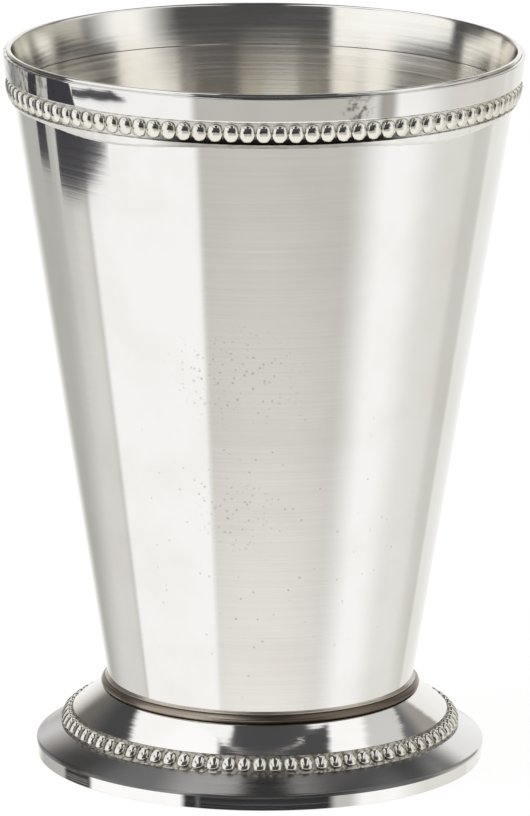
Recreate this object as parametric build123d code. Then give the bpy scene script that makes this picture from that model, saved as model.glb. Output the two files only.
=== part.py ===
from build123d import *
import os
from math import atan, cos, pi, radians, sin

# A footed, tapered metal cup with a beaded collar under the lip and a beaded foot.
# Millimetres. +Z is up, the cup's axis is Z and the table is at z = 0.
# The front of the cup faces -Y, and a bead of each row sits there.

# Body: a spun cone with a closed bottom, thickened to an upright land inside the lip
body_height = 102.05
body_base_diameter = 48.9
lip_diameter = 82.5
body_wall = 0.8
body_bottom_thickness = 1.0
bottom_inner_radius = 3.0
lip_wall = 0.95
lip_land_height = 6.6
lip_rounding = 0.35

# Collar strip round the lip, with a rounded lower edge over the beads
band_step = 0.55
band_top_thickness = 0.5
band_height = 3.95
band_low_thickness = 0.8
band_top_rounding = 0.2
band_low_rounding = 0.4

# Beaded wire: beads on a thin flat back, long ones on the rim and round ones on the foot
bead_pitch = 2.53
bead_width = 2.3
bead_rise = 0.82
bead_root = 0.1
rim_wire_width = 3.3
rim_bead_length = 3.2
foot_wire_width = 3.1
foot_bead_length = 2.4
wire_back_thickness = 0.2

# Solder: the film between curved pieces, the fillet under the rim beads, the layer at the neck
solder_film = 0.05
fillet_height = 0.85
fillet_width = 0.65
neck_solder_thickness = 0.3
neck_solder_proud = 0.35

# Neck: a half-round ring round the spigot that carries the body
neck_ring_height = 1.4
neck_ring_width = 0.85
neck_ring_bulge = 0.65
spigot_inset = 0.45
shoulder_ledge = 0.9
flange_bore_diameter = 30.0

# Foot: a spun shell with a domed shoulder, a stepped bead seat and a low flare
foot_wall = 0.9
dome_run = 4.7
dome_rise = 3.7
dome_crown = 0.05
seat_slope = 55.0
seat_depth = 0.28
flare_run = 4.0
flare_rise = 2.2
flare_crown = 0.15
flare_edge_height = 0.55
flare_edge_rounding = 0.4

# Upright strip under the edge of the foot, which stands on the table
edge_band_height = 2.1
edge_band_thickness = 1.3
edge_band_inset = 0.18
edge_band_rounding = 0.15

# Most of a wall's thickness, or of a wide edge, that a rounding may take up
rounding_share = 0.45
edge_share = 0.8

# Radii and heights that follow, from the neck outwards and from the table up
body_base_radius = body_base_diameter / 2
lip_radius = lip_diameter / 2
seat_length = foot_wire_width + 2 * solder_film
seat_angle = radians(seat_slope)
shoulder_radius = body_base_radius + shoulder_ledge
seat_top_radius = shoulder_radius + dome_run
seat_low_radius = seat_top_radius + seat_length * cos(seat_angle)
foot_radius = seat_low_radius + flare_run
flare_low_height = edge_band_height + flare_edge_height
seat_low_height = flare_low_height + flare_rise
seat_top_height = seat_low_height + seat_length * sin(seat_angle)
shoulder_height = seat_top_height + dome_rise
spigot_height = shoulder_height + neck_ring_height
neck_height = spigot_height + neck_solder_thickness
cup_height = neck_height + body_height
edge_band_radius = foot_radius - edge_band_inset
edge_band_bore_radius = edge_band_radius - edge_band_thickness
spigot_radius = body_base_radius - spigot_inset

# The straight cone of the body's outside
body_lip_radius = lip_radius - band_top_thickness - solder_film
body_taper = (body_lip_radius - body_base_radius) / body_height
body_angle = atan(body_taper)
wall_across = body_wall / cos(body_angle)

# Heights of the pieces round the rim
band_top = cup_height - band_step
band_low = band_top - band_height


def cone_radius(height):
    """Radius of the body's outside at a height above the table."""
    return body_base_radius + (height - neck_height) * body_taper


def shifted(point, direction, distance):
    """A profile point moved along a direction."""
    return (point[0] + direction[0] * distance, point[1] + direction[1] * distance)


def bowed(start, end, rise):
    """Arc between two profile points, bowed to the left of the way from start to end."""
    length = ((end[0] - start[0]) ** 2 + (end[1] - start[1]) ** 2) ** 0.5
    left = (-(end[1] - start[1]) / length, (end[0] - start[0]) / length)
    middle = ((start[0] + end[0]) / 2, (start[1] + end[1]) / 2)
    return ThreePointArc(start, shifted(middle, left, rise), end)


def rounded(face, corners):
    """Round the named corners of a profile, each given as (point, radius)."""
    for point, radius in corners:
        face = fillet(face.vertices().sort_by_distance((point[0], point[1], 0))[0], radius)
    return face


def turned(face):
    """Solid of revolution of a profile drawn as (radius, height)."""
    return revolve(Plane.XZ * face, axis=Axis.Z)


def cup_body():
    floor_height = neck_height + body_bottom_thickness
    floor_corner = (cone_radius(floor_height) - wall_across, floor_height)
    crease_height = cup_height - lip_land_height
    crease = (cone_radius(crease_height) - wall_across, crease_height)
    lip_outside = (body_lip_radius, cup_height)
    lip_inside = (body_lip_radius - lip_wall, cup_height)
    profile = make_face(Polyline(
        (0, neck_height), (body_base_radius, neck_height), lip_outside, lip_inside,
        crease, floor_corner, (0, floor_height), close=True))
    lip_round = min(lip_rounding, rounding_share * lip_wall)
    return turned(rounded(profile, [
        (lip_outside, lip_round), (lip_inside, lip_round), (floor_corner, bottom_inner_radius)]))


def rim_band():
    outer_top = (lip_radius, band_top)
    outer_low = (cone_radius(band_low) + band_low_thickness, band_low)
    inner_low = (cone_radius(band_low) + solder_film, band_low)
    inner_top = (cone_radius(band_top) + solder_film, band_top)
    profile = make_face(Polyline(inner_low, inner_top, outer_top, outer_low, close=True))
    top_round = min(band_top_rounding, rounding_share * band_top_thickness)
    low_round = min(band_low_rounding, edge_share * band_low_thickness)
    return turned(rounded(profile, [(outer_top, top_round), (outer_low, low_round)]))


def bead(length):
    """One bead, standing on the face of the wire's back and rooted a little into it."""
    outline = EllipticalCenterArc((0, 0), length / 2, bead_width / 2, start_angle=0, arc_size=180)
    half = make_face([outline, Line((-length / 2, 0), (length / 2, 0))])
    whole = Pos(0, 0, bead_rise - bead_width / 2) * Rot(0, 0, 90) * revolve(half, axis=Axis.X)
    upright = (Align.CENTER, Align.CENTER, Align.MIN)
    keep = Box(bead_width, length, bead_rise + bead_root, align=upright)
    return whole & (Pos(0, 0, -bead_root) * keep)


def beaded_wire(corner, along, outward, wire_width, bead_length):
    """Ring of beads on a flat back that runs from a corner point along a slope."""
    far_corner = shifted(corner, along, wire_width)
    back = turned(make_face(Polyline(
        corner, shifted(corner, outward, wire_back_thickness),
        shifted(far_corner, outward, wire_back_thickness), far_corner, close=True)))
    middle = shifted(shifted(corner, along, wire_width / 2), outward, wire_back_thickness)
    crest_radius = middle[0] + bead_rise * outward[0]
    count = round(2 * pi * crest_radius / bead_pitch)
    seat = Plane(origin=(0, -middle[0], middle[1]), x_dir=(1, 0, 0), z_dir=(0, -outward[0], outward[1]))
    first = seat * bead(bead_length)
    beads = [Rot(0, 0, 360 * place / count) * first for place in range(count)]
    return back.fuse(*beads)


def rim_wire_frame():
    """Top corner of the rim wire's back, with the ways down the cone and out of it."""
    top = band_low - solder_film
    down = (-sin(body_angle), -cos(body_angle))
    outward = (cos(body_angle), -sin(body_angle))
    return (cone_radius(top) + solder_film, top), down, outward


def rim_bead_wire():
    return beaded_wire(*rim_wire_frame(), rim_wire_width, rim_bead_length)


def rim_solder():
    corner, down, outward = rim_wire_frame()
    upper = shifted(corner, down, rim_wire_width + solder_film)
    outer = shifted(upper, outward, fillet_width)
    lower = shifted(upper, down, fillet_height)
    return turned(make_face(Polyline(lower, upper, outer, close=True)))


def neck_solder():
    outer = body_base_radius + neck_solder_proud
    bore = flange_bore_diameter / 2
    edge = bowed((outer, neck_height), (outer, spigot_height), neck_solder_thickness / 2)
    top = Line((bore, neck_height), (outer, neck_height))
    base = Line((outer, spigot_height), (bore, spigot_height))
    return turned(make_face([top, edge, base, Line((bore, spigot_height), (bore, neck_height))]))


def neck_ring():
    inner = spigot_radius + solder_film
    outer = inner + neck_ring_width
    bulge = bowed((outer, spigot_height), (outer, shoulder_height), neck_ring_bulge)
    flat = Polyline(
        (outer, shoulder_height), (inner, shoulder_height), (inner, spigot_height), (outer, spigot_height))
    return turned(make_face([bulge, *flat.edges()]))


def foot_seat_frame():
    """Top corner of the foot's bead seat, with the ways down the seat and out of it."""
    down = (cos(seat_angle), -sin(seat_angle))
    outward = (sin(seat_angle), cos(seat_angle))
    return (seat_top_radius, seat_top_height), down, outward


def foot_shell():
    seat_top, _, outward = foot_seat_frame()
    seat_low = (seat_low_radius, seat_low_height)
    flare_edge = (foot_radius, flare_low_height)
    foot_edge = (foot_radius, edge_band_height)
    shoulder = (shoulder_radius, shoulder_height)
    bore = flange_bore_diameter / 2
    neck = Polyline(
        (bore, spigot_height), (spigot_radius, spigot_height), (spigot_radius, shoulder_height), shoulder)
    dome = bowed(shoulder, seat_top, dome_crown)
    seat = Polyline(
        seat_top, shifted(seat_top, outward, -seat_depth),
        shifted(seat_low, outward, -seat_depth), seat_low)
    flare = bowed(seat_low, flare_edge, flare_crown)
    deep = -(seat_depth + foot_wall)
    underside = Polyline(
        flare_edge, foot_edge, (edge_band_bore_radius, edge_band_height),
        shifted(seat_low, outward, deep), shifted(seat_top, outward, deep),
        (spigot_radius - foot_wall, shoulder_height - foot_wall),
        (spigot_radius - foot_wall, spigot_height - foot_wall),
        (bore, spigot_height - foot_wall), (bore, spigot_height))
    profile = make_face([*neck.edges(), dome, *seat.edges(), flare, *underside.edges()])
    edge_round = min(flare_edge_rounding, edge_share * flare_edge_height)
    return turned(rounded(profile, [(flare_edge, edge_round)]))


def foot_bead_wire():
    seat_top, down, outward = foot_seat_frame()
    corner = shifted(shifted(seat_top, down, solder_film), outward, solder_film - seat_depth)
    return beaded_wire(corner, down, outward, foot_wire_width, foot_bead_length)


def foot_edge_band():
    corners = [(edge_band_bore_radius, 0), (edge_band_radius, 0),
               (edge_band_radius, edge_band_height), (edge_band_bore_radius, edge_band_height)]
    profile = make_face(Polyline(*corners, close=True))
    return turned(rounded(profile, [(corners[0], edge_band_rounding), (corners[1], edge_band_rounding)]))


pieces = [cup_body, rim_band, rim_bead_wire, rim_solder, neck_solder, neck_ring,
          foot_shell, foot_bead_wire, foot_edge_band]
os.makedirs("parts", exist_ok=True)
for piece in pieces:
    export_step(piece(), f"parts/{piece.__name__}.step")
print(f"cup {cup_height:.2f} high, lip {lip_diameter:.2f}, foot {2 * foot_radius:.2f} across")
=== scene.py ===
# %% [markdown]
# # A beaded julep cup in plated brass
# The cup is a spun cone on a spun foot, with a collar and a row of beads under its lip and a second
# row of beads on the foot. Everything on it is round, so every piece is drawn as half a section and
# spun, much as the real one was made on a lathe.
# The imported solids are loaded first. They give the heights that the pieces keep to. The radii and
# the other sizes below are in millimetres, and are the solids' own or within a fraction of one.

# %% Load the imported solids
import math
import bmesh
import bpy
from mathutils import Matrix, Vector


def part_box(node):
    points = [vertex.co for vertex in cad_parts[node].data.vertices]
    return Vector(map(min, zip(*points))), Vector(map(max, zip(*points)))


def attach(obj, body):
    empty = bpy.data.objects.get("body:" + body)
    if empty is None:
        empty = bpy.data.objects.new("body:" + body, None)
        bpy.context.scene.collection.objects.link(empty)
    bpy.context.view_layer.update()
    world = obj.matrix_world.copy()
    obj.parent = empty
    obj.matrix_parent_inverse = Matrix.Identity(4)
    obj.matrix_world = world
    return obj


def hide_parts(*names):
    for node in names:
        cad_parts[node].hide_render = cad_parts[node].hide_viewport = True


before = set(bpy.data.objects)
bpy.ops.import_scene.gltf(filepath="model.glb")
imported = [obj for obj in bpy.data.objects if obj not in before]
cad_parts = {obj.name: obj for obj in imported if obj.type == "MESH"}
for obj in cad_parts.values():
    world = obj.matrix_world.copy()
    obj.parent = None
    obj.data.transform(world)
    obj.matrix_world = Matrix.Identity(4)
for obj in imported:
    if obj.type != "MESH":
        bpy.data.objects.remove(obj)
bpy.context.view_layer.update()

mm = 0.001


def in_mm(lengths):
    """Lengths in metres as millimetres, rounded for printing."""
    return [round(length / mm, 2) for length in lengths]


print("solids:", sorted(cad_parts))

# %% [markdown]
# ## Tools for turned pieces
# A turned piece starts as one point. The point is extruded along half of the section, the corners
# are rounded with a vertex bevel, and the line is spun round the upright axis. Shading by angle
# keeps the sharp corners sharp, and weighted normals keep the wide faces flat right up to a rounded
# corner, which matters on metal because a mirror shows every bent normal.

# %% Draw half a section
def draw_line(name, points):
    """Start a piece as one point and extrude it along points in mm."""
    bpy.ops.object.select_all(action="DESELECT")
    bpy.ops.mesh.primitive_plane_add(size=mm, location=(0, 0, 0))
    piece = bpy.context.active_object
    piece.name = name
    bpy.ops.object.mode_set(mode="EDIT")
    bpy.ops.mesh.select_all(action="SELECT")
    bpy.ops.mesh.merge(type="CENTER")
    bpy.ops.transform.translate(value=[part * mm for part in points[0]])
    for point, following in zip(points, points[1:]):
        step = [(end - start) * mm for start, end in zip(point, following)]
        bpy.ops.mesh.extrude_vertices_move(TRANSFORM_OT_translate={"value": step})
    return piece


def draw_section(name, section):
    """Draw half a section beside the axis, given as (radius, height) in mm."""
    return draw_line(name, [(radius, 0, height) for radius, height in section])


def bow(start, end, rise, parts):
    """Points of a shallow arc that bulges to the left of the way from start to end."""
    run = (end[0] - start[0], end[1] - start[1])
    length = math.hypot(*run)
    left = (-run[1] / length, run[0] / length)
    shares = [part / parts for part in range(parts + 1)]
    lifts = [4 * rise * share * (1 - share) for share in shares]
    return [(start[0] + run[0] * share + left[0] * lift, start[1] + run[1] * share + left[1] * lift)
            for share, lift in zip(shares, lifts)]


# %% Round a corner and spin the section
seam_reach = 0.0005 * mm


def round_corner(piece, corner, slide, segments=5):
    """Round one corner of the section, starting the curve this far from it along both lines."""
    mesh = bmesh.from_edit_mesh(piece.data)
    place = Vector((corner[0] * mm, 0, corner[1] * mm))
    nearest = min(mesh.verts, key=lambda point: (point.co - place).length)
    bpy.ops.mesh.select_all(action="DESELECT")
    nearest.select_set(True)
    mesh.select_flush(True)
    bpy.ops.mesh.bevel(
        offset_type="ABSOLUTE", offset=slide * mm, segments=segments, affect="VERTICES")


def spin_section(piece, steps=240):
    """Spin the drawn section round the upright axis and close its seam."""
    bpy.ops.mesh.select_all(action="SELECT")
    bpy.ops.mesh.spin(steps=steps, angle=2 * math.pi, center=(0, 0, 0), axis=(0, 0, 1))
    bpy.ops.mesh.select_all(action="SELECT")
    bpy.ops.mesh.remove_doubles(threshold=seam_reach)
    bpy.ops.mesh.normals_make_consistent(inside=False)


# %% Finish the skin and seat the piece
def uneven_skin(piece, lump, depth):
    """Make a skin uneven with a displace modifier, by lumps of a size and a depth in mm."""
    bpy.ops.object.mode_set(mode="OBJECT")
    clouds = bpy.data.textures.new(piece.name + "_lumps", type="CLOUDS")
    clouds.noise_scale = lump * mm
    bpy.ops.object.modifier_add(type="DISPLACE")
    uneven = piece.modifiers[-1]
    uneven.texture = clouds
    uneven.texture_coords = "LOCAL"
    uneven.mid_level = 0.5
    uneven.strength = depth * mm
    bpy.ops.object.modifier_apply(modifier=uneven.name)


def smooth_skin(piece, sharp_angle=32):
    """Leave edit mode, shade the piece smooth and keep its wide faces true."""
    bpy.ops.object.mode_set(mode="OBJECT")
    bpy.ops.object.shade_smooth_by_angle(angle=math.radians(sharp_angle))
    bpy.ops.object.modifier_add(type="WEIGHTED_NORMAL")
    piece.modifiers[-1].keep_sharp = True
    bpy.ops.object.modifier_apply(modifier=piece.modifiers[-1].name)
    bpy.ops.object.select_all(action="DESELECT")


def seat(piece, node):
    """Let the piece stand for its solid and ride with the cup."""
    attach(piece, "root")
    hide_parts(node)
    low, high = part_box(node)
    print(piece.name, len(piece.data.polygons), "faces, solid", in_mm((*low, *high)))


# %% [markdown]
# ## The body
# The body is sheet brass spun to a straight cone with a closed bottom. Its wall thickens to a land
# inside the lip, whose lower edge is a tiny step that shows as a crease line inside the cup. The
# land flares out in a shallow curve. A cone primitive would have no wall, so the wall is drawn as
# a section with both of its skins.

# %% Measure the cone
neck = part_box("cup_body")[0].z / mm
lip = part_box("cup_body")[1].z / mm
base_radius = 24.45
lip_radius = 40.70
taper = (lip_radius - base_radius) / (lip - neck)
lean = math.atan(taper)


def cone(height):
    """Radius of the body's outside at a height."""
    return base_radius + (height - neck) * taper


print("the cone leans out by", round(math.degrees(lean), 2), "degrees")

# %% Spin the body
body_sheet = 0.8
bottom_thickness = 1.0
lip_thickness = 0.75
land_height = 6.6
land_bow = 0.07
step_in, step_up = 0.1, 0.15
floor_slide = 2.5
lip_slide = 0.35

wall = body_sheet / math.cos(lean)
floor_top = neck + bottom_thickness
crease = lip - land_height
floor_corner = (cone(floor_top) - wall, floor_top)
wall_top = (cone(crease) - wall, crease)
land_low = (wall_top[0] - step_in, crease + step_up)
lip_inside = (lip_radius - lip_thickness, lip)
lip_outside = (lip_radius, lip)
body = draw_section("body_shell", [
    (0, floor_top), floor_corner, wall_top, *bow(land_low, lip_inside, land_bow, 8), lip_outside,
    (base_radius, neck), (0, neck)])
round_corner(body, floor_corner, floor_slide, segments=8)
round_corner(body, lip_inside, lip_slide)
round_corner(body, lip_outside, lip_slide)
spin_section(body, steps=288)
smooth_skin(body, sharp_angle=20)
seat(body, "cup_body")

# %% [markdown]
# ## The collar under the lip
# A flat strip of brass is soldered round the lip. It stands a little proud of the cone. Its lower
# edge is rounded over, which catches a bright line above the beads.

# %% Spin the collar
film = 0.05
collar_radius = 41.24
collar_low_thickness = 0.8
collar_top_slide = 0.2
collar_low_slide = 0.36

collar_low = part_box("rim_band")[0].z / mm
collar_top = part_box("rim_band")[1].z / mm
collar_outer_top = (collar_radius, collar_top)
collar_outer_low = (cone(collar_low) + collar_low_thickness, collar_low)
collar_inner_low = (cone(collar_low) + film, collar_low)
collar_inner_top = (cone(collar_top) + film, collar_top)
collar = draw_section("lip_collar", [
    collar_inner_low, collar_inner_top, collar_outer_top, collar_outer_low, collar_inner_low])
round_corner(collar, collar_outer_top, collar_top_slide)
round_corner(collar, collar_outer_low, collar_low_slide, segments=8)
spin_section(collar)
smooth_skin(collar)
seat(collar, "rim_band")

# %% [markdown]
# ## Beaded wire
# Beaded wire is drawn through rollers that press it into a row of beads on a thin flat back.
# One bead starts as a sphere. A cast modifier squares it a little, because rolled beads are fatter
# than eggs, and it is stretched along the wire's width and cut off behind. It keeps to a few dozen
# faces, because the cup has 180 beads. The spin tool then copies it round the ring, and the ring
# joins the spun back, so each bead is its own island in the mesh.
# The rolled beads aren't all alike, so a displace modifier swells each one a little differently.

# %% Roll a ring of beads
bead_rise = 0.82
bead_root = 0.1
bead_squareness = 0.22


def bead_ring(middle, outward, width, length, count):
    """Shape one bead, set it on the wire's face at the front and copy it round the ring."""
    bpy.ops.object.select_all(action="DESELECT")
    bpy.ops.mesh.primitive_uv_sphere_add(segments=14, ring_count=8, radius=mm)
    beads = bpy.context.active_object
    bpy.ops.object.modifier_add(type="CAST")
    squarer = beads.modifiers[-1]
    squarer.cast_type = "CUBOID"
    squarer.factor = bead_squareness
    bpy.ops.object.modifier_apply(modifier=squarer.name)
    bpy.ops.object.mode_set(mode="EDIT")
    bpy.ops.mesh.select_all(action="SELECT")
    sizes = (width, 2 * bead_rise, length)
    bpy.ops.transform.resize(value=[size / now * mm for size, now in zip(sizes, beads.dimensions)])
    bpy.ops.mesh.bisect(plane_co=(0, bead_root * mm, 0), plane_no=(0, 1, 0),
                        clear_outer=True, threshold=0.0001 * mm)
    bpy.ops.mesh.select_all(action="SELECT")
    tip = math.atan2(outward[1], outward[0])
    bpy.ops.transform.rotate(value=tip, orient_axis="X", center_override=(0, 0, 0))
    bpy.ops.transform.translate(value=(0, -middle[0] * mm, middle[1] * mm))
    bpy.ops.mesh.spin(steps=count - 1, dupli=True, angle=2 * math.pi * (count - 1) / count,
                      center=(0, 0, 0), axis=(0, 0, 1))
    bpy.ops.object.mode_set(mode="OBJECT")
    return beads


# %% Set the beads on their back
back_thickness = 0.2
swell_size = 2.6
swell_depth = 0.12


def along(point, way, distance):
    """A section point moved along a way."""
    return (point[0] + way[0] * distance, point[1] + way[1] * distance)


def beaded_wire(name, corner, down, outward, width, bead_size, count):
    """Spin the wire's flat back from its top corner and join a ring of beads to it."""
    middle = along(along(corner, down, width / 2), outward, back_thickness)
    beads = bead_ring(middle, outward, *bead_size, count)
    far = along(corner, down, width)
    wire = draw_section(name, [
        corner, along(corner, outward, back_thickness), along(far, outward, back_thickness), far,
        corner])
    spin_section(wire)
    bpy.ops.object.mode_set(mode="OBJECT")
    back_faces = len(wire.data.polygons)
    beads.select_set(True)
    bpy.ops.object.join()
    uneven_skin(wire, swell_size, swell_depth)
    smooth_skin(wire, sharp_angle=50)
    print(name, "has", count, "beads and", back_faces, "faces of back")
    return wire, back_faces


# %% The row on the rim
rim_wire_width = 3.3
rim_bead = (2.46, 3.0)
rim_bead_count = 101
cone_down = (-math.sin(lean), -math.cos(lean))
cone_out = (math.cos(lean), -math.sin(lean))
rim_corner = (cone(collar_low - film) + film, collar_low - film)
rim_wire, rim_back = beaded_wire(
    "rim_beads", rim_corner, cone_down, cone_out, rim_wire_width, rim_bead, rim_bead_count)
seat(rim_wire, "rim_bead_wire")

# %% The row on the foot
foot_wire_width = 3.1
foot_bead = (2.25, 2.5)
foot_bead_count = 79
seat_top = (30.05, 7.471)
seat_depth = 0.28
seat_lean = math.radians(55)
seat_down = (math.cos(seat_lean), -math.sin(seat_lean))
seat_out = (math.sin(seat_lean), math.cos(seat_lean))
foot_corner = along(along(seat_top, seat_down, film), seat_out, film - seat_depth)
foot_wire, foot_back = beaded_wire(
    "foot_beads", foot_corner, seat_down, seat_out, foot_wire_width, foot_bead, foot_bead_count)
seat(foot_wire, "foot_bead_wire")

# %% [markdown]
# ## Solder
# The collar and beads are held by soft solder. An uneven fillet of it shows under the rim beads, and
# a thin line of it shows where the body meets its foot. The fillet is spun. More solder ran down at
# the two sides, where its lower edge is pulled down with proportional editing, while the upper edge
# is hidden and stays. A displace modifier makes it uneven, because a perfect cone would look
# moulded.

# %% Let more solder run down at a side
solder_width = 0.62
solder_height = 0.82
held_above = 0.6
solder_top = along(rim_corner, cone_down, rim_wire_width + film)
solder_out = along(solder_top, cone_out, solder_width)
solder_low = along(solder_top, cone_down, solder_height)


def pull_solder(piece, side, drop, reach):
    """Pull the fillet's lower edge down the cone, most at this many degrees from the front."""
    mesh = bmesh.from_edit_mesh(piece.data)
    turn = math.radians(side)
    across, ahead = math.sin(turn), -math.cos(turn)
    lowest = Vector((solder_low[0] * across, solder_low[0] * ahead, solder_low[1])) * mm
    bpy.ops.mesh.select_all(action="DESELECT")
    for point in mesh.verts:
        point.select_set(point.co.z > (solder_low[1] + held_above) * mm)
    mesh.select_flush(True)
    bpy.ops.mesh.hide(unselected=False)
    min(mesh.verts, key=lambda point: (point.co - lowest).length).select_set(True)
    mesh.select_flush(True)
    way = (cone_down[0] * across, cone_down[0] * ahead, cone_down[1])
    bpy.ops.transform.translate(
        value=[part * drop * mm for part in way], use_proportional_edit=True,
        proportional_edit_falloff="SMOOTH", proportional_size=reach * mm)
    bpy.ops.mesh.reveal(select=False)


# %% Spin the solder under the rim beads
run_sides = (-37, 44)
run_drop = 0.9
run_reach = 18
fillet_bulge = 0.06
lump_size = 0.8
lump_depth = 0.3
rim_solder = draw_section("rim_solder_fillet", [
    solder_low, solder_top, solder_out, *bow(solder_out, solder_low, fillet_bulge, 8)[1:]])
spin_section(rim_solder, steps=480)
for side in run_sides:
    pull_solder(rim_solder, side, run_drop, run_reach)
uneven_skin(rim_solder, lump_size, lump_depth)
smooth_skin(rim_solder, sharp_angle=60)
seat(rim_solder, "rim_solder")

# %% Spin the solder at the neck
flange_bore = 15
solder_edge = base_radius + 0.35
solder_bulge = 0.15
neck_solder_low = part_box("neck_solder")[0].z / mm
neck_solder = draw_section("neck_solder_line", [
    (flange_bore, neck),
    *bow((solder_edge, neck), (solder_edge, neck_solder_low), solder_bulge, 6),
    (flange_bore, neck_solder_low), (flange_bore, neck)])
spin_section(neck_solder)
smooth_skin(neck_solder)
seat(neck_solder, "neck_solder")

# %% [markdown]
# ## The neck and the foot
# A half-round ring covers the joint between body and foot. The foot is one spun shell: a spigot
# that carries the body, a domed shoulder, a stepped seat for the beads and a low flare. An upright
# strip under the flare's edge is what stands on the table.

# %% Spin the neck ring
spigot_radius = 24.0
ring_inner = 24.05
ring_outer = 24.9
ring_bulge = 0.65
ring_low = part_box("neck_ring")[0].z / mm
ring_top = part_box("neck_ring")[1].z / mm
neck_ring = draw_section("neck_collar_ring", [
    (ring_inner, ring_top), *bow((ring_outer, ring_top), (ring_outer, ring_low), ring_bulge, 12),
    (ring_inner, ring_low), (ring_inner, ring_top)])
spin_section(neck_ring)
smooth_skin(neck_ring)
seat(neck_ring, "neck_ring")

# %% Draw both sides of the foot's sheet
foot_sheet = 0.9
foot_radius = 35.885
strip_bore = 34.405
dome_bow = 0.05
flare_bow = 0.04
edge_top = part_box("foot_shell")[0].z / mm
spigot_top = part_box("foot_shell")[1].z / mm
shoulder = (25.35, ring_low)
seat_low = (31.885, 4.85)
flare_edge = (foot_radius, 2.65)
outside = [
    (flange_bore, spigot_top), (spigot_radius, spigot_top), (spigot_radius, ring_low),
    *bow(shoulder, seat_top, dome_bow, 14),
    along(seat_top, seat_out, -seat_depth), along(seat_low, seat_out, -seat_depth),
    *bow(seat_low, flare_edge, flare_bow, 14)]
seat_under = -(seat_depth + foot_sheet)
spigot_bore = spigot_radius - foot_sheet
flange_under = spigot_top - foot_sheet
underside = [
    (foot_radius, edge_top), (strip_bore, edge_top),
    along(seat_low, seat_out, seat_under), along(seat_top, seat_out, seat_under),
    (spigot_bore, ring_low - foot_sheet), (spigot_bore, flange_under),
    (flange_bore, flange_under), (flange_bore, spigot_top)]
print("the foot is", round(2 * foot_radius, 2), "mm across and", round(spigot_top, 2), "mm high")

# %% Spin the foot
flare_slide = 0.24
foot = draw_section("foot_dome", outside + underside)
round_corner(foot, flare_edge, flare_slide)
spin_section(foot)
smooth_skin(foot)
seat(foot, "foot_shell")

# %% Spin the strip that stands on the table
strip_radius = 35.705
strip_slide = 0.15
strip = draw_section("foot_edge_strip", [
    (strip_bore, 0), (strip_radius, 0), (strip_radius, edge_top), (strip_bore, edge_top),
    (strip_bore, 0)])
round_corner(strip, (strip_radius, 0), strip_slide)
spin_section(strip)
smooth_skin(strip)
seat(strip, "foot_edge_band")

# %% [markdown]
# ## Tools for finishes
# Colours are written as sRGB hex values and turned to linear once. One small function adds a node,
# sets it up and links it. Object coordinates are in metres, so a pattern's scale is worked out from
# the size of its real feature in millimetres.

# %% Colours and nodes
def linear(hex_code):
    """Linear colour of an sRGB hex value."""
    parts = [int(hex_code[place:place + 2], 16) / 255 for place in (0, 2, 4)]
    return [*(part / 12.92 if part <= 0.04045 else ((part + 0.055) / 1.055) ** 2.4
              for part in parts), 1]


def add(tree, kind, inputs=None, **settings):
    """Add a node. Inputs are constants, or other nodes' sockets to link."""
    node = tree.nodes.new("ShaderNode" + kind)
    for name, value in settings.items():
        setattr(node, name, value)
    for name, value in (inputs or {}).items():
        if isinstance(value, bpy.types.NodeSocket):
            tree.links.new(value, node.inputs[name])
        else:
            node.inputs[name].default_value = value
    return node


def per_mm(size):
    """Scale at which one cell of a pattern is this many millimetres."""
    return 1 / (size * mm)


print("a tone of 808080 is", round(linear("808080")[0], 3), "linear")

# %% [markdown]
# ## Plated brass
# All of the cup is brass with a thin white plate, polished on the lathe. Polishing leaves fine lines
# round the axis, so a reflection is smeared up and down but stays crisp from side to side. That is
# an anisotropic metal whose tangent runs round the axis, with the lines as a bump that is stretched
# round the cup. Such lines are about 0.05 mm apart, which is too fine for the picture, so they are
# drawn about ten times as coarse. They also make the edges of reflections ragged.

# %% A plated finish
line_length = 60
patch_width = 14


def plated_finish(name, tone, dull, roughness, stretch, line_width, line_depth):
    """Plate polished on the lathe: lines round the axis and faint duller patches."""
    material = bpy.data.materials.new(name)
    material.use_nodes = True
    tree = material.node_tree
    shader = tree.nodes["Principled BSDF"]
    place = add(tree, "TexCoord").outputs["Object"]
    grain = (per_mm(line_length), per_mm(line_length), per_mm(line_width))
    stretched = add(tree, "Mapping", {"Vector": place, "Scale": grain}).outputs["Vector"]
    lines = add(tree, "TexNoise", {
        "Vector": stretched, "Scale": 1.0, "Detail": 3.0}).outputs["Fac"]
    patches = add(tree, "TexNoise", {
        "Vector": place, "Scale": per_mm(patch_width), "Detail": 4.0}).outputs["Fac"]
    share = add(tree, "MapRange", {
        "Value": patches, "From Min": 0.45, "From Max": 0.75}).outputs["Result"]
    colour = add(tree, "Mix", {
        "Factor": share, "A": linear(tone), "B": linear(dull)}, data_type="RGBA")
    tree.links.new(colour.outputs["Result"], shader.inputs["Base Color"])
    gloss = add(tree, "MapRange", {
        "Value": lines, "From Min": 0.3, "From Max": 0.7,
        "To Min": roughness * 0.8, "To Max": roughness * 1.25}).outputs["Result"]
    tree.links.new(gloss, shader.inputs["Roughness"])
    bump = add(tree, "Bump", {"Height": lines, "Strength": 1.0, "Distance": line_depth * mm})
    tree.links.new(bump.outputs["Normal"], shader.inputs["Normal"])
    tangent = add(tree, "Tangent", direction_type="RADIAL", axis="Z").outputs["Tangent"]
    tree.links.new(tangent, shader.inputs["Tangent"])
    shader.inputs["Metallic"].default_value = 1.0
    shader.inputs["Anisotropic"].default_value = stretch
    shader.inputs["Anisotropic Rotation"].default_value = 0.25
    return material
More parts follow.
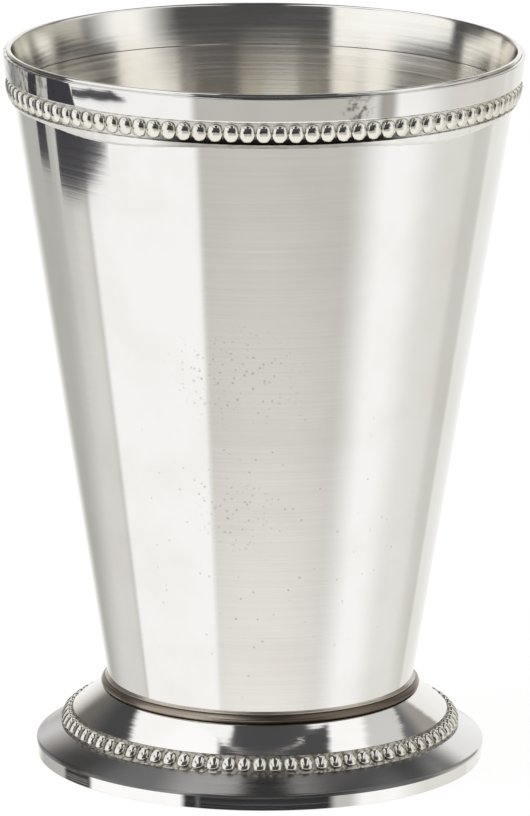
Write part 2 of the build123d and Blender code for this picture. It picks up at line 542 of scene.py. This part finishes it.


# %% [markdown]
# ## The finishes of this cup
# The body's outside is buffed, the inside is brushed and a little yellow, and the collar, dome and
# strip are close to mirrors. The flare's darker grey is painted in for the dark room that it
# mirrors, with painted reflections brighter at its ends. The beads were rolled before plating, so
# their lines are too shallow to see. The ground between them is pale on the rim, with painted shade
# low at the front, and is greyed with crumbs as painted shade on the foot. Solder is tin, which
# stays white but is never smooth. The neck ring is plate worn down to the brass, with a line of
# tarnished solder over it, and shade is painted in its corners.

# %% Make the finishes
# Each has a tone, a duller tone, a roughness, a stretch, and its lines' width and depth in mm.
# Buffed plate: upright bands of light, sharp at their sides and ragged at their ends
body_finish = plated_finish("buffed_plate", "F4F3F1", "EEECE8", 0.075, 0.6, 0.6, 0.003)
# Brushed plate that has yellowed: reflections drawn out into soft streaks
inside_finish = plated_finish("brushed_plate", "FCF9F2", "F3EEE3", 0.16, 0.85, 0.4, 0.01)
# The same on the land, brushed a little finer
lip_finish = plated_finish("brushed_lip", "F9F7F1", "F2EEE5", 0.14, 0.8, 0.4, 0.008)
# Burnished plate: a mirror with hardly a line in it
collar_finish = plated_finish("collar_plate", "F1F0EE", "E9E7E3", 0.03, 0.4, 0.6, 0.001)
# Plate polished over coarser lines: a mirror whose edges are ragged
mirror_finish = plated_finish("mirror_plate", "FBFAF8", "F5F3F0", 0.06, 0.6, 0.7, 0.012)
# Flare plate: a darker grey painted in for the dark room that it mirrors, with a wide, soft sheen
flare_shade_finish = plated_finish("flare_shaded_plate", "A9A8A7", "959493", 0.24, 0.6, 0.3, 0.001)
# Rolled plate: a bright and a dark spot on each bead
bead_finish = plated_finish("rolled_plate", "EDEBE3", "DFDBD0", 0.12, 0.2, 0.5, 0.001)
# Tarnished plate that no cloth reaches: pale and nearly matt, with shade painted on it low at the
# front
groove_and_shade_finish = plated_finish("tarnished_plate_and_shade", "F1EFEA", "DEDAD2", 0.34, 0.2, 0.5, 0.004)
# Ground between the foot's beads: greyed as painted shade, pale and matt, with darker crumbs
bead_gap_shade_finish = plated_finish("crumbly_shaded_plate", "CDC9C0", "A29B90", 0.34, 0.2, 0.5, 0.01)
# Tin solder: white, with soft highlights on its lumps
solder_finish = plated_finish("tin_solder", "FAF9F6", "E8E5DF", 0.3, 0.1, 1.2, 0.01)
# Plate worn down to the brass: brownish, with a dull sheen, and painted shade in its corners
neck_finish = plated_finish("worn_plate", "BEB4A8", "978B7D", 0.26, 0.5, 0.2, 0.004)
# Tarnished solder: yellowish and matt
tarnish_finish = plated_finish("tarnished_solder", "E6E0D5", "B9AE9F", 0.35, 0.3, 0.4, 0.006)
print("finishes:", [finish.name for finish in bpy.data.materials if finish.users == 0])

# %% [markdown]
# ## Pits, stains, tarnish and painted shade
# A used plate isn't even. Acid and salt pit it: here the pits are grey specks about 0.4 mm wide,
# most of them in a patch at the middle of the front and a few lower down. A cell pattern gives
# a speck where a cell's centre is near the surface. Stains and tarnish are a second tone that is
# laid over a finish where masks say, such as near a point of the piece. Painted shade and painted
# reflections are laid over the same way.

# %% Lay a second tone over a finish
def agree(tree, masks):
    """One mask where all of these agree."""
    share = masks[0]
    for mask in masks[1:]:
        share = add(tree, "Math", {0: share, 1: mask}, operation="MULTIPLY").outputs["Value"]
    return share


def lay_over(material, tone, roughness, *masks):
    """Lay another tone and dullness over a finish where all the masks agree."""
    tree = material.node_tree
    shader = tree.nodes["Principled BSDF"]
    share = agree(tree, masks)
    for socket, kind, value in (
            ("Base Color", "RGBA", linear(tone)), ("Roughness", "FLOAT", roughness)):
        under = shader.inputs[socket].links[0].from_socket
        mixed = add(tree, "Mix", {"Factor": share, "A": under, "B": value}, data_type=kind)
        tree.links.new(mixed.outputs["Result"], shader.inputs[socket])


def place_on(material):
    """The place on the piece, as the finish's own patterns read it."""
    return material.node_tree.nodes["Texture Coordinate"].outputs["Object"]


def near(material, centre, full, none, squeeze=1.0):
    """Mask round a point in mm: 1 within one distance, 0 beyond the other, squeezed in height."""
    tree = material.node_tree
    place = place_on(material)
    if squeeze != 1.0:
        place = add(tree, "Mapping", {"Vector": place, "Scale": (1, 1, squeeze)}).outputs["Vector"]
    point = (centre[0] * mm, centre[1] * mm, centre[2] * squeeze * mm)
    reach = add(tree, "VectorMath", {0: place, 1: point}, operation="DISTANCE").outputs["Value"]
    return add(tree, "MapRange", {
        "Value": reach, "From Min": none * mm, "From Max": full * mm},
        interpolation_type="SMOOTHSTEP").outputs["Result"]


# %% Pit the body
def specks(material, spacing, width):
    """Mask of small uneven specks, by the spacing of their cells and their width in mm."""
    tree = material.node_tree
    place = place_on(material)
    waves = add(tree, "TexNoise", {"Vector": place, "Scale": per_mm(width)}).outputs["Color"]
    uneven = add(tree, "VectorMath", {
        0: waves, 1: [0.8 * width * mm] * 3, 2: place}, operation="MULTIPLY_ADD")
    cells = add(tree, "TexVoronoi", {
        "Vector": uneven.outputs["Vector"], "Scale": per_mm(spacing)})
    half = width / 2 / spacing
    return add(tree, "MapRange", {
        "Value": cells.outputs["Distance"], "From Min": half * 1.5,
        "From Max": half * 0.5}).outputs["Result"]


tree = body_finish.node_tree
upper = near(body_finish, (-4, -33, 69), 3, 14, squeeze=1.3)
lower = near(body_finish, (-4, -31, 46), 1, 9)
patch = add(tree, "Math", {0: upper, 1: lower}, operation="MAXIMUM").outputs["Value"]
lay_over(body_finish, "D0CDC7", 0.25, patch, specks(body_finish, spacing=0.95, width=0.4))
scattered = near(body_finish, (0, -30, 42), 14, 34)
lay_over(body_finish, "DAD7D1", 0.25, scattered, specks(body_finish, spacing=2.2, width=0.36))
print("nodes of the body's finish:", len(tree.nodes))

# %% Stain the collar
# Blots right of the front and, fainter, at the left end, and an upright smear beside the first
blot_size = 1.2
tree = collar_finish.node_tree
clouds = add(tree, "TexNoise", {
    "Vector": place_on(collar_finish), "Scale": per_mm(blot_size), "Detail": 4.0}).outputs["Fac"]
blots = add(tree, "MapRange", {
    "Value": clouds, "From Min": 0.48, "From Max": 0.64}).outputs["Result"]
lay_over(collar_finish, "7C7872", 0.3, near(collar_finish, (14.6, -38.3, 112.4), 0.8, 3.6), blots)
lay_over(collar_finish, "A6A5A4", 0.16, near(collar_finish, (-40, -10, 112), 8, 20), blots)
smear = near(collar_finish, (19, -36.3, 112), 0.6, 2.4, squeeze=0.1)
lay_over(collar_finish, "AAA7A1", 0.1, smear)
print("nodes of the collar's finish:", len(tree.nodes))

# %% Brown the neck and paint shade in its corners
# Shade is painted in the ring's two corners, and the ring is darker right of the front
corner_shade_start, corner_shade_full = 0.3, 0.66
tree = neck_finish.node_tree
height = add(tree, "SeparateXYZ", {"Vector": place_on(neck_finish)}).outputs["Z"]
ring_middle = (ring_low + ring_top) / 2 * mm
off_middle = add(tree, "Math", {0: height, 1: ring_middle}, operation="SUBTRACT").outputs["Value"]
reach = add(tree, "Math", {0: off_middle}, operation="ABSOLUTE").outputs["Value"]
corners = add(tree, "MapRange", {
    "Value": reach, "From Min": corner_shade_start * mm, "From Max": corner_shade_full * mm}).outputs["Result"]
# Painted shade in both corners of the ring
lay_over(neck_finish, "8A7E72", 0.4, corners)
lay_over(neck_finish, "7A6E63", 0.36, near(neck_finish, (16, -19, 12), 13, 24))
print("nodes of the neck's finish:", len(tree.nodes))

# %% Paint shade on the ground between the beads
# Painted shade: on the rim the ground is dark low down at the front, and the solder there is greyed
# too; the foot's ground is greyed and has darker crumbs
wire_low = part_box("rim_bead_wire")[0].z / mm
dark_start, dark_full = 2.0, 0.6
tree = groove_and_shade_finish.node_tree
height = add(tree, "SeparateXYZ", {"Vector": place_on(groove_and_shade_finish)}).outputs["Z"]
low_shade = add(tree, "MapRange", {
    "Value": height, "From Min": (wire_low + dark_start) * mm,
    "From Max": (wire_low + dark_full) * mm}).outputs["Result"]
front_shade = near(groove_and_shade_finish, (3, -39.6, wire_low), 15, 25)
# Painted shade low on the rim wire's back at the front
lay_over(groove_and_shade_finish, "2E2A25", 0.45, low_shade, front_shade)
# Painted shade: the solder at the front is greyed
lay_over(solder_finish, "B4B1AA", 0.36, near(solder_finish, (1, -40, wire_low), 12, 20))

# Painted shade on the foot's ground: darker crumbs over its grey
crumb_size = 0.6
tree = bead_gap_shade_finish.node_tree
clouds = add(tree, "TexNoise", {
    "Vector": place_on(bead_gap_shade_finish), "Scale": per_mm(crumb_size), "Detail": 3.0}).outputs["Fac"]
crumbs = add(tree, "MapRange", {
    "Value": clouds, "From Min": 0.48, "From Max": 0.6}).outputs["Result"]
lay_over(bead_gap_shade_finish, "7E776C", 0.45, crumbs)
print("the rim's wire ends", round(wire_low, 2), "mm up")

# %% Paint reflections on the flare
# Painted reflections: darker at both sides of the front, where the flare mirrors the dark room,
# and brighter at both ends, where it mirrors the white cards
for tone, roughness, centre, full, none in (
        ("706F6F", 0.26, (-21, -28, 3.3), 4, 13), ("6E6D6D", 0.26, (18, -29, 3.3), 6, 16),
        ("EDEDEF", 0.12, (34, -4, 3.5), 8, 22), ("D6D6DC", 0.14, (-34, -8, 3), 3, 12)):
    lay_over(flare_shade_finish, tone, roughness, near(flare_shade_finish, centre, full, none))
print("nodes of the flare's finish:", len(flare_shade_finish.node_tree.nodes))

# %% [markdown]
# ## Finishes on the pieces
# Most pieces have one finish. The body has three, because its inside and the land at its lip were
# brushed and not buffed. The foot has two, and so has each beaded wire, whose back is told from its
# beads by the order of the faces.

# %% Pick faces by their place
inner_skin = 0.6
floor_depth = 0.5
lip_edge = 0.3
flare_start = 31.7


def on_inner_skin(face, low, high):
    """Whether a face of the body is on its inner skin, between two heights."""
    centre = face.center / mm
    return low < centre.z < high and math.hypot(centre.x, centre.y) < cone(centre.z) - inner_skin


def inside_cup(face):
    """Faces of the cup's inside, below the crease under its lip."""
    return on_inner_skin(face, neck + floor_depth, crease)


def inside_lip(face):
    """Faces of the land inside the lip."""
    return on_inner_skin(face, crease, lip - lip_edge)


def on_flare(face):
    """Faces of the foot outside its bead seat."""
    return math.hypot(face.center.x, face.center.y) > flare_start * mm


# %% Lay the finishes on the pieces
def lay_finish(piece, main, *others):
    """Give a piece its finish, and other finishes to the faces that their tests pick."""
    piece.data.materials.clear()
    for finish in (main, *(finish for finish, _ in others)):
        piece.data.materials.append(finish)
    for place, (_, where) in enumerate(others, 1):
        for face in piece.data.polygons:
            if where(face):
                face.material_index = place


lay_finish(body, body_finish, (inside_finish, inside_cup), (lip_finish, inside_lip))
lay_finish(collar, collar_finish)
lay_finish(rim_wire, bead_finish, (groove_and_shade_finish, lambda face: face.index < rim_back))
lay_finish(foot_wire, bead_finish, (bead_gap_shade_finish, lambda face: face.index < foot_back))
lay_finish(rim_solder, solder_finish)
lay_finish(neck_solder, tarnish_finish)
lay_finish(neck_ring, neck_finish)
lay_finish(foot, mirror_finish, (flare_shade_finish, on_flare))
lay_finish(strip, mirror_finish)

# %% [markdown]
# ## What the metal mirrors
# Polished metal has hardly any colour of its own: it shows the room. The room is painted in the
# world by direction, as a few large cards. A pale table lies below and the dark room is behind the
# camera. A white card stands at the left, another at the right, and a white sweep is behind the
# cup. Two long soft boxes hang over the cup at its sides, and are seen in the domed foot. Their
# edges run away from the camera, so a box is what lies between two shares of sideways to upward.
# Directions are degrees round the cup from the front, more to the right, and degrees above the
# table. Each card lies over the ones before it.

# %% Directions in the room
world = bpy.data.worlds.new("studio_room")
bpy.context.scene.world = world
world.use_nodes = True
room = world.node_tree
ray = add(room, "SeparateXYZ", {"Vector": add(room, "TexCoord").outputs["Generated"]})
ahead = add(room, "Math", {0: ray.outputs["Y"], 1: -1.0}, operation="MULTIPLY").outputs["Value"]
turn = add(room, "Math", {0: ray.outputs["X"], 1: ahead}, operation="ARCTAN2").outputs["Value"]
round_cup = add(room, "Math", {0: turn}, operation="DEGREES").outputs["Value"]
to_side = add(room, "Math", {0: round_cup}, operation="ABSOLUTE").outputs["Value"]
rise = add(room, "Math", {0: ray.outputs["Z"]}, operation="ARCSINE").outputs["Value"]
above = add(room, "Math", {0: rise}, operation="DEGREES").outputs["Value"]


def edge(value, start, end):
    """Soft step from 0 at start to 1 at end."""
    return add(room, "MapRange", {"Value": value, "From Min": start, "From Max": end},
               interpolation_type="SMOOTHSTEP").outputs["Result"]


def paint(under, cards):
    """Lay cards of one colour over what is painted already, each where all its masks agree."""
    for hex_code, *masks in cards:
        mixed = add(room, "Mix", {
            "Factor": agree(room, masks), "A": under, "B": linear(hex_code)}, data_type="RGBA")
        under = mixed.outputs["Result"]
    print("cards:", len(cards))
    return under


# %% Paint the dark room and the table
# A darker gap beyond the table's edge, the pale table, and its white part beside the cup
seen = paint(linear("4A4A4C"), [
    ("2C2C2F", edge(above, -6, -11)),
    ("C5C3BD", edge(above, -17, -20)),
    ("FFFDF9", edge(above, -28, -36))])

# %% Paint the left side
# The dark wall with its paler lower parts, then four greys of the table
seen = paint(seen, [
    ("474749", edge(round_cup, -104, -112), edge(above, 5, 14)),
    ("6E6B67", edge(round_cup, -102, -108), edge(above, 5, 14), edge(above, 36, 18)),
    ("919090", edge(round_cup, -119, -124), edge(above, 17, 7)),
    ("DCDBD6", edge(round_cup, -97, -103), edge(above, -16, -18)),
    ("C4C3BF", edge(round_cup, -107, -113), edge(above, -16, -18)),
    ("B8B7B3", edge(round_cup, -119, -124), edge(above, -13.6, -15.5)),
    ("DEDDD9", edge(round_cup, -97, -113), edge(above, -19, -24))])

# %% Paint the right side and the sweep
# The wall with a pale card before it, four greys of the table, and the sweep from its sides inwards
seen = paint(seen, [
    ("6C6C6E", edge(round_cup, 118, 126), edge(above, 5, 14)),
    ("BBB6AD", edge(round_cup, 90, 98), edge(above, 20, 8)),
    ("9E9B95", edge(round_cup, 118, 126), edge(above, 36, 28)),
    ("F0EFEB", edge(round_cup, 84, 92), edge(round_cup, 118, 109),
     edge(above, 8, 15), edge(above, 36, 30)),
    ("E0DFDA", edge(round_cup, 60, 66), edge(above, -11, -14)),
    ("D2D1CC", edge(round_cup, 114, 122), edge(above, -16, -19)),
    ("EDECE8", edge(round_cup, 134, 139), edge(above, -13, -16)),
    ("EBEAE6", edge(round_cup, 62, 75), edge(above, -21, -26)),
    ("C6C1B7", edge(round_cup, -150, -164), edge(above, 44, 30)),
    ("F0EFEC", edge(round_cup, 146, 149), edge(above, 38, 24)),
    ("F9F9F7", edge(to_side, 150, 172), edge(above, 26, 12))])

# %% Stand the white cards
# One at the left, one at the right, and a higher one at each side that the beads show
right_end = edge(round_cup, 97, 72)
seen = paint(seen, [
    ("FFFFFF", edge(round_cup, -100, -96), edge(round_cup, -30, -35), edge(above, 36, 28)),
    ("FFFFFF", edge(round_cup, 40, 65), right_end, edge(above, 53, 47)),
    ("F4F4F2", edge(to_side, 58, 66), edge(to_side, 116, 108),
     edge(above, 24, 32), edge(above, 66, 58))])

# %% Paint what the lowest strip sees
# The strip is upright, so it sees only a level stretch of the room: a dark gap beside the left
# card, and the right card with its grey edge
level = edge(above, -20, -18), edge(above, -2, -6)
seen = paint(seen, [
    ("2C2C2F", edge(round_cup, -42, -38), edge(round_cup, -28, -34), *level),
    ("C4C3C0", edge(round_cup, 35, 41), right_end, *level),
    ("FFFFFF", edge(round_cup, 46, 56), right_end, *level)])

# %% Hang two soft boxes over the cup
# The left box, the grey side of the right box, and the right box
sideways = add(room, "Math", {0: ray.outputs["X"], 1: ray.outputs["Z"]}, operation="DIVIDE")
backwards = add(room, "Math", {0: ray.outputs["Y"], 1: ray.outputs["Z"]}, operation="DIVIDE")
across, back = sideways.outputs["Value"], backwards.outputs["Value"]
overhead = edge(above, 28, 34)
seen = paint(seen, [
    ("FFFFFF", edge(across, -0.84, -0.78), edge(across, -0.22, -0.26), edge(back, 0.86, 0.74),
     overhead),
    ("CFCFCD", edge(across, 0.6, 0.66), edge(across, 0.96, 0.91), edge(back, 1.15, 1.0), overhead),
    ("FFFFFF", edge(across, 0.39, 0.43), edge(across, 0.68, 0.62), edge(back, 0.72, 0.58),
     overhead)])
room.links.new(seen, room.nodes["Background"].inputs["Color"])
room.nodes["Background"].inputs["Strength"].default_value = 1.0
print("room nodes:", len(room.nodes))

# %% [markdown]
# ## Dark boards and the floor
# Three dark boards lie on the table at the left, and show in the collar and high on the body: a wide
# one, a narrow one and a thin strip, each cut to the outline that the metal shows. They are near, so
# they are real boards: what is painted in the room is seen alike from all over the cup.
# The floor is a wide pale disc with a wall round it, so that it is white behind the cup from any
# side. It is kept out of the reflections, because the table that the metal mirrors is painted in
# the room.

# %% Lay the dark boards
# Black felt gives off the little light that it would scatter, and nothing shines on it
board_height = 0.5
felt = bpy.data.materials.new("black_felt")
felt.use_nodes = True
tree = felt.node_tree
light = add(tree, "Emission", {"Color": linear("403F44"), "Strength": 1.0})
tree.links.new(light.outputs["Emission"], tree.nodes["Material Output"].inputs["Surface"])


def board(name, corners):
    """A flat board on the table, cut to corners in mm, that only the metal sees."""
    piece = draw_line(name, [(x, y, board_height) for x, y in corners])
    bpy.ops.mesh.select_all(action="SELECT")
    bpy.ops.mesh.edge_face_add()
    bpy.ops.object.mode_set(mode="OBJECT")
    piece.data.materials.append(felt)
    piece.visible_camera = False
    piece.visible_diffuse = False
    piece.visible_shadow = False
    print(name, "faces:", len(piece.data.polygons))


board("wide_board", [(-247, -70), (-257, 103), (-357, 121), (-420, 133), (-420, 65), (-346, 7)])
board("narrow_board", [
    (-262, 150), (-250, 207), (-335, 245), (-365, 240), (-365, 188), (-347, 186)])
board("thin_board", [
    (-345, 6), (-328, -57), (-301, -115), (-274, -158), (-309, -120), (-336, -60), (-353, 8)])

# %% Lay the floor
# Sizes in metres: the wall stands well behind the camera, so it never comes before the cup
floor_radius = 4.0
wall_height = 3.0
bpy.ops.object.select_all(action="DESELECT")
bpy.ops.mesh.primitive_circle_add(
    vertices=96, radius=floor_radius, fill_type="NGON", location=(0, 0, 0))
floor = bpy.context.active_object
floor.name = "floor_and_wall"
bpy.ops.object.mode_set(mode="EDIT")
bpy.ops.mesh.select_mode(type="EDGE")
bpy.ops.mesh.select_all(action="SELECT")
bpy.ops.mesh.extrude_edges_move(TRANSFORM_OT_translate={"value": (0, 0, wall_height)})
bpy.ops.mesh.select_mode(type="VERT")
bpy.ops.object.mode_set(mode="OBJECT")
floor.visible_glossy = False
floor.visible_diffuse = False
floor.visible_shadow = False
print("floor faces:", len(floor.data.polygons))

# %% Whiten the floor
# White paper, a little grey so that the cup's shadow shows, lit up to white by its own glow
paper = bpy.data.materials.new("white_paper")
paper.use_nodes = True
paper_shader = paper.node_tree.nodes["Principled BSDF"]
paper_shader.inputs["Base Color"].default_value = linear("A0A0A0")
paper_shader.inputs["Roughness"].default_value = 0.9
paper_shader.inputs["Specular IOR Level"].default_value = 0.0
paper_shader.inputs["Emission Color"].default_value = linear("FFFFFF")
paper_shader.inputs["Emission Strength"].default_value = 0.84
floor.data.materials.append(paper)
print("floor finish:", floor.data.materials[0].name)

# %% [markdown]
# ## Camera
# The photograph was taken with a long lens from a little above the lip, and the cup leans by a third
# of a degree in it. Blender lays the sensor's width along the picture's longer side, which is 816
# pixels here, so the lens follows from the measured focal length in pixels.

# %% Set the camera
focal_pixels = 7526.7
longer_side = 816
sensor_width = 36.0
look_down = 0.22808
picture_lean = 0.00644
camera_place = (0.49, -1168.37, 327.73)
camera_data = bpy.data.cameras.new("long_lens")
camera_data.sensor_width = sensor_width
camera_data.lens = focal_pixels * sensor_width / longer_side
camera_data.clip_end = 20
camera = bpy.data.objects.new("photo_camera", camera_data)
bpy.context.scene.collection.objects.link(camera)
camera.location = [part * mm for part in camera_place]
camera.rotation_mode = "ZYX"
camera.rotation_euler = (math.pi / 2 - look_down, 0, picture_lean)
bpy.context.scene.camera = camera
bpy.context.scene.view_settings.view_transform = "Standard"
print("lens", round(camera_data.lens, 2), "mm")
